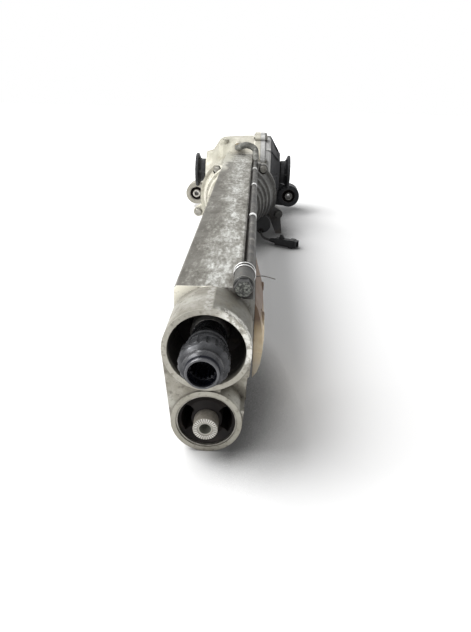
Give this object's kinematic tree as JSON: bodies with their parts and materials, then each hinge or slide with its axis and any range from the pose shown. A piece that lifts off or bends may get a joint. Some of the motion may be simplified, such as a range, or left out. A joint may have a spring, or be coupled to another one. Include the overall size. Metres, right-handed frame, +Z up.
{
  "type": "front differential",
  "caption": "Front axle differential with a long torque tube, bevel final drive, two output flanges and three rubber-bushed mounting eyes.",
  "frame": {"origin": "centre of the input coupling's mouth, on the input shaft's axis", "axes": "+Y along the input shaft from the input towards the axle, +X to the right seen from the input end, +Z up"},
  "size_m": [0.292, 1.0771, 0.1908],
  "materials": {
    "tube_casting": "weathered cast",
    "case_casting": "cast",
    "cover_casting": "cast",
    "gasket": "matt",
    "plated_bolts": "zinc plated",
    "dark_bolt": "black oxide",
    "clip_steel": "bright",
    "brass": "plain",
    "hose": "matt",
    "shield": "satin",
    "black_plastic": "matt",
    "lead": "matt",
    "coupling_black": "satin",
    "shaft_steel": "turned",
    "gear_steel": "ground",
    "carrier_iron": "cast",
    "flange_black": "satin",
    "seal_rubber": "matt",
    "bush_steel": "dull",
    "sleeve_metal": "turned",
    "rubber": "matt",
    "bearing_steel": "ground"
  },
  "bodies": {
    "housing": {"actuator_body": "black_plastic", "breather_clips": "clip_steel", "breather_pipe": "hose", "breather_union": "brass", "case_gasket": "gasket", "connector": "black_plastic", "cover_bolts": "plated_bolts", "drain_plug": "plated_bolts", "eye_inner_sleeve": "sleeve_metal", "eye_outer_sleeve": "bush_steel", "eye_rubber": "rubber", "fill_plug": "plated_bolts", "flange_bolts": "plated_bolts", "head_bearing_cup": "bearing_steel", "input_bearing_outer": "bearing_steel", "input_seal": "seal_rubber", "lead_gland": "rubber", "left_bearing_cup": "bearing_steel", "left_ear_inner_sleeve": "sleeve_metal", "left_ear_outer_sleeve": "bush_steel", "left_ear_rubber": "rubber", "left_output_seal": "seal_rubber", "main_case": "case_casting", "nose_bolt": "dark_bolt", "pigtail": "lead", "pinion_shim": "shaft_steel", "right_bearing_cup": "bearing_steel", "right_ear_inner_sleeve": "sleeve_metal", "right_ear_outer_sleeve": "bush_steel", "right_ear_rubber": "rubber", "right_output_seal": "seal_rubber", "shield_bolts": "plated_bolts", "side_cover": "cover_casting", "side_shield": "shield", "tail_bearing_cup": "bearing_steel", "torque_tube": "tube_casting"},
    "input_line": {"input_coupling": "coupling_black", "input_shaft": "shaft_steel", "coupling_sleeve": "shaft_steel", "pinion": "gear_steel", "pinion_nut": "dark_bolt", "pinion_spacer": "shaft_steel", "head_bearing_cone": "bearing_steel", "tail_bearing_cone": "bearing_steel", "input_bearing_inner": "bearing_steel", "input_bearing_balls": "bearing_steel"},
    "carrier": {"diff_carrier": "carrier_iron", "ring_gear": "gear_steel", "ring_gear_bolts": "dark_bolt", "cross_pin": "shaft_steel", "lock_pin": "shaft_steel", "thrust_washers": "brass", "left_bearing_cone": "bearing_steel", "right_bearing_cone": "bearing_steel"},
    "left_output": {"left_output_flange": "flange_black", "left_side_gear": "gear_steel"},
    "right_output": {"right_output_flange": "flange_black", "right_side_gear": "gear_steel"},
    "upper_planet": {"upper_planet_gear": "gear_steel"},
    "lower_planet": {"lower_planet_gear": "gear_steel"}
  },
  "joints": [
    {"name": "carrier_spin", "type": "hinge", "parent": "housing", "child": "carrier", "pos_m": [0, 0.987, 0], "axis": [1, 0, 0], "continuous": true},
    {"name": "pinion_spin", "type": "hinge", "parent": "housing", "child": "input_line", "pos_m": [0, 0, 0], "axis": [0, 1, 0], "continuous": true},
    {"name": "left_output_spin", "type": "hinge", "parent": "carrier", "child": "left_output", "pos_m": [0, 0.987, 0], "axis": [1, 0, 0], "continuous": true},
    {"name": "right_output_spin", "type": "hinge", "parent": "carrier", "child": "right_output", "pos_m": [0, 0.987, 0], "axis": [1, 0, 0], "continuous": true},
    {"name": "upper_planet_spin", "type": "hinge", "parent": "carrier", "child": "upper_planet", "pos_m": [0, 0.987, 0], "axis": [0, 0, 1], "continuous": true},
    {"name": "lower_planet_spin", "type": "hinge", "parent": "carrier", "child": "lower_planet", "pos_m": [0, 0.987, 0], "axis": [0, 0, 1], "continuous": true}
  ],
  "couplings": [
    {"joint": "pinion_spin", "follows": "carrier_spin", "ratio": 3.0909},
    {"joint": "right_output_spin", "follows": "left_output_spin", "ratio": -1},
    {"joint": "upper_planet_spin", "follows": "left_output_spin", "ratio": 1.6},
    {"joint": "lower_planet_spin", "follows": "left_output_spin", "ratio": -1.6}
  ]
}
